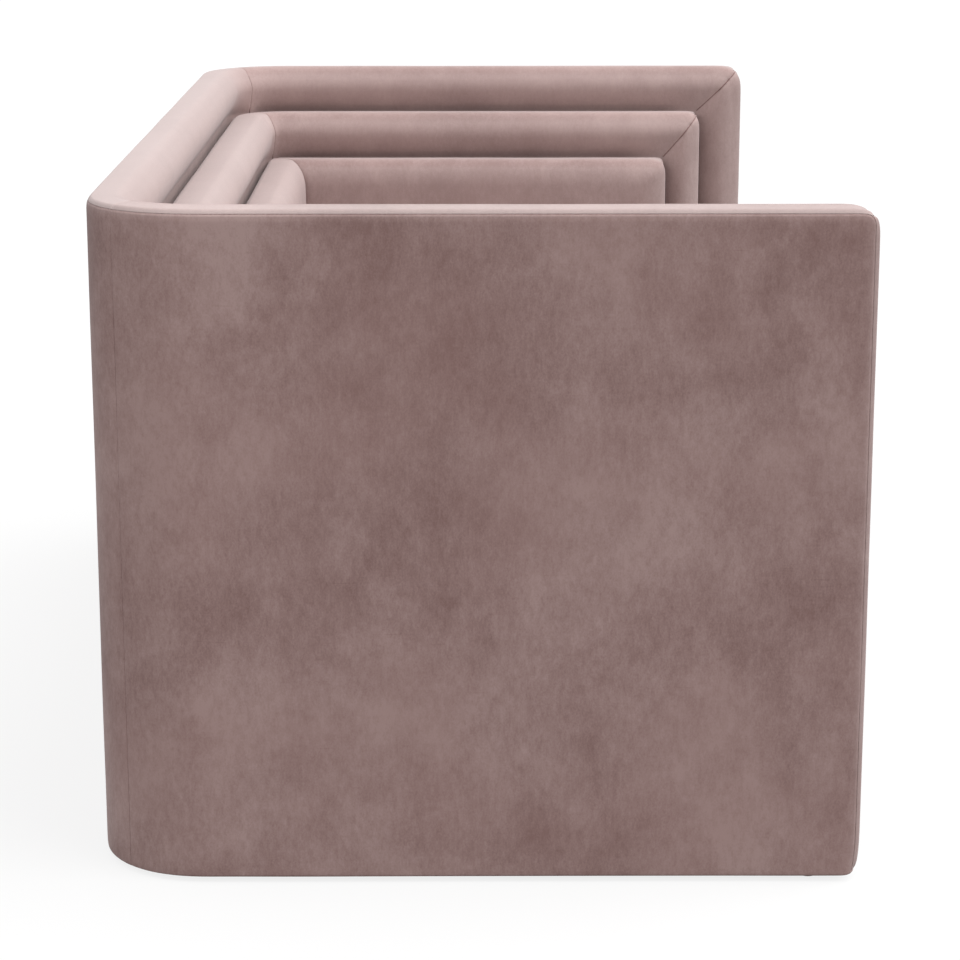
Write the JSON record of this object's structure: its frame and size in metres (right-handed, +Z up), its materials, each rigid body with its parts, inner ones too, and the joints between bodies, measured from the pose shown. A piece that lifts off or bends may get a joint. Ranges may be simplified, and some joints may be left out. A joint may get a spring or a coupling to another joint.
{
  "type": "loveseat",
  "caption": "Low velvet loveseat whose arms and back are nested padded tiers that step down to a sprung seat box with a loose zipped cushion, on hidden floor glides.",
  "frame": {"origin": "on the floor, under the middle of the sofa's bounding box", "axes": "+X to the right of someone facing the sofa, along its width; +Y towards the back; +Z up. The seat faces -Y."},
  "size_m": [1.5, 0.8, 0.708],
  "materials": {
    "velvet": "short-pile velvet",
    "foam": "open-cell upholstery foam",
    "plywood": "raw plywood",
    "timber": "planed hardwood",
    "zinc_steel": "zinc plated",
    "spring_steel": "drawn wire",
    "clip_steel": "pressed steel",
    "felt": "needled felt",
    "dust_cloth": "spun-bonded cloth",
    "glide_plastic": "moulded",
    "zip_cloth": "woven tape",
    "zip_metal": "nickel plated"
  },
  "bodies": {
    "frame": {"bolt_washers": "zinc_steel", "centre_stretcher": "timber", "deck_pad": "foam", "dust_cover": "dust_cloth", "frame_bolts": "zinc_steel", "frame_screws": "zinc_steel", "front_base_rail": "timber", "front_border": "velvet", "front_left_glide": "glide_plastic", "front_right_glide": "glide_plastic", "front_seat_rail": "timber", "glide_screws": "zinc_steel", "inner_back_board": "plywood", "inner_back_pad": "foam", "inner_cover": "velvet", "inner_left_board": "plywood", "inner_left_pad": "foam", "inner_right_board": "plywood", "inner_right_pad": "foam", "left_base_rail": "timber", "left_seat_rail": "timber", "middle_back_board": "plywood", "middle_back_pad": "foam", "middle_cover": "velvet", "middle_left_board": "plywood", "middle_left_pad": "foam", "middle_right_board": "plywood", "middle_right_pad": "foam", "outer_back_board": "plywood", "outer_back_pad": "foam", "outer_cover": "velvet", "outer_left_board": "plywood", "outer_left_pad": "foam", "outer_right_board": "plywood", "outer_right_pad": "foam", "rear_base_rail": "timber", "rear_left_corner_post": "plywood", "rear_left_glide": "glide_plastic", "rear_right_corner_post": "plywood", "rear_right_glide": "glide_plastic", "rear_seat_rail": "timber", "right_base_rail": "timber", "right_seat_rail": "timber", "seat_box_posts": "timber", "seat_springs": "spring_steel", "spring_clips": "clip_steel", "spring_felt": "felt", "threaded_inserts": "zinc_steel"},
    "seat_cushion": {"seat_cushion_foam": "foam", "seat_cushion_cover": "velvet", "zip_tape": "zip_cloth"},
    "zip_slider": {"zip_slider": "zip_metal"}
  },
  "joints": [
    {"name": "seat_cushion_lift", "type": "slide", "parent": "frame", "child": "seat_cushion", "axis": [0, 0, 1], "range_m": [0, 0.4]},
    {"name": "zip_slide", "type": "slide", "parent": "seat_cushion", "child": "zip_slider", "axis": [1, 0, 0], "range_m": [-0.883, 0]}
  ]
}
